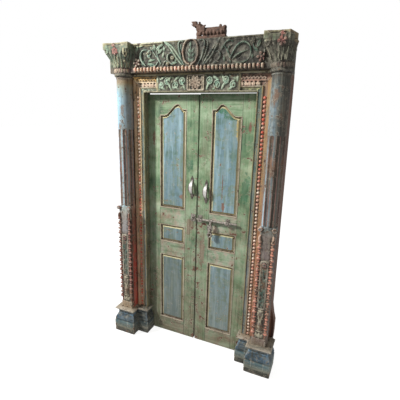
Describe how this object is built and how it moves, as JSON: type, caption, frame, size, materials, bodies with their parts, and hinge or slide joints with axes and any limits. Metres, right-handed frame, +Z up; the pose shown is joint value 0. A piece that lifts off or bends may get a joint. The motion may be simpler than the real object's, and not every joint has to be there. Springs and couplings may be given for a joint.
{
  "type": "carved door",
  "caption": "Carved and painted double door with attached columns, capitals, lintel and crest; leaves turn on pivots and close with a sliding bar.",
  "frame": {"origin": "On the floor, midway between the sides and midway between front and back.", "axes": "+Z up, the front faces -Y, +X to the right seen from the front. The leaves open towards +Y."},
  "size_m": [1.312, 0.244, 2.3606],
  "materials": {
    "leaf_paint": "Old matt sage green paint on wood, chipped to brown",
    "panel_paint": "Old matt grey-blue paint, chipped",
    "moulding_paint": "Cream and ochre paint lines on dark brown grooves",
    "frieze_paint": "Pale mint, cream, pink and red paint on carved dark wood",
    "head_paint": "Cream, ochre and red paint on carved dark wood",
    "jamb_paint": "Ochre, teal and rose paint on a moulded jamb",
    "capital_paint": "Pale green, cream and pink paint on carved leaves",
    "column_paint": "Pale blue and teal paint, streaked, rose and mauve lower down",
    "plinth_paint": "Worn blue and teal paint with a cream cap",
    "bare_post_wood": "Bare reddish-brown wood",
    "raw_wood": "Bare weathered carved wood",
    "wrought_iron": "Wrought iron, dark in the recesses, rubbed grey on the grips"
  },
  "bodies": {
    "frame": {"left_plinth": "plinth_paint", "right_plinth": "plinth_paint", "left_column": "column_paint", "right_column": "column_paint", "left_capital": "capital_paint", "right_capital": "capital_paint", "left_side_post": "bare_post_wood", "right_side_post": "bare_post_wood", "left_jamb": "jamb_paint", "right_jamb": "jamb_paint", "head": "head_paint", "lintel": "frieze_paint", "crest": "raw_wood", "left_floor_shoe": "wrought_iron", "right_floor_shoe": "wrought_iron"},
    "left_leaf": {"left_hinge_stile": "leaf_paint", "left_meeting_stile": "leaf_paint", "left_top_rail": "leaf_paint", "left_bolt_rail": "leaf_paint", "left_lock_rail": "leaf_paint", "left_bottom_rail": "leaf_paint", "left_upper_panel": "panel_paint", "left_middle_panel": "panel_paint", "left_lower_panel": "panel_paint", "left_upper_moulding": "moulding_paint", "left_middle_moulding": "moulding_paint", "left_lower_moulding": "moulding_paint", "left_pivots": "wrought_iron", "left_handle": "wrought_iron", "bolt_keeper": "wrought_iron"},
    "right_leaf": {"right_hinge_stile": "leaf_paint", "right_meeting_stile": "leaf_paint", "right_top_rail": "leaf_paint", "right_bolt_rail": "leaf_paint", "right_lock_rail": "leaf_paint", "right_bottom_rail": "leaf_paint", "right_upper_panel": "panel_paint", "right_middle_panel": "panel_paint", "right_lower_panel": "panel_paint", "right_upper_moulding": "moulding_paint", "right_middle_moulding": "moulding_paint", "right_lower_moulding": "moulding_paint", "right_pivots": "wrought_iron", "right_handle": "wrought_iron", "bolt_staple": "wrought_iron", "bolt_boss": "wrought_iron"},
    "bolt": {"bolt_bar": "wrought_iron"},
    "hasp": {"hasp": "wrought_iron"}
  },
  "joints": [
    {"name": "left_leaf_hinge", "type": "hinge", "parent": "frame", "child": "left_leaf", "pos_m": [-0.412, 0.077, 1], "axis": [0, 0, 1], "range_deg": [0, 90]},
    {"name": "right_leaf_hinge", "type": "hinge", "parent": "frame", "child": "right_leaf", "pos_m": [0.412, 0.077, 1], "axis": [0, 0, -1], "range_deg": [0, 90]},
    {"name": "bolt_slide", "type": "slide", "parent": "right_leaf", "child": "bolt", "axis": [-1, 0, 0], "range_m": [0, 0.074]},
    {"name": "hasp_swing", "type": "hinge", "parent": "bolt", "child": "hasp", "pos_m": [0.123, 0.038, 1.05], "axis": [1, 0, 0], "range_deg": [-90, 0]}
  ]
}
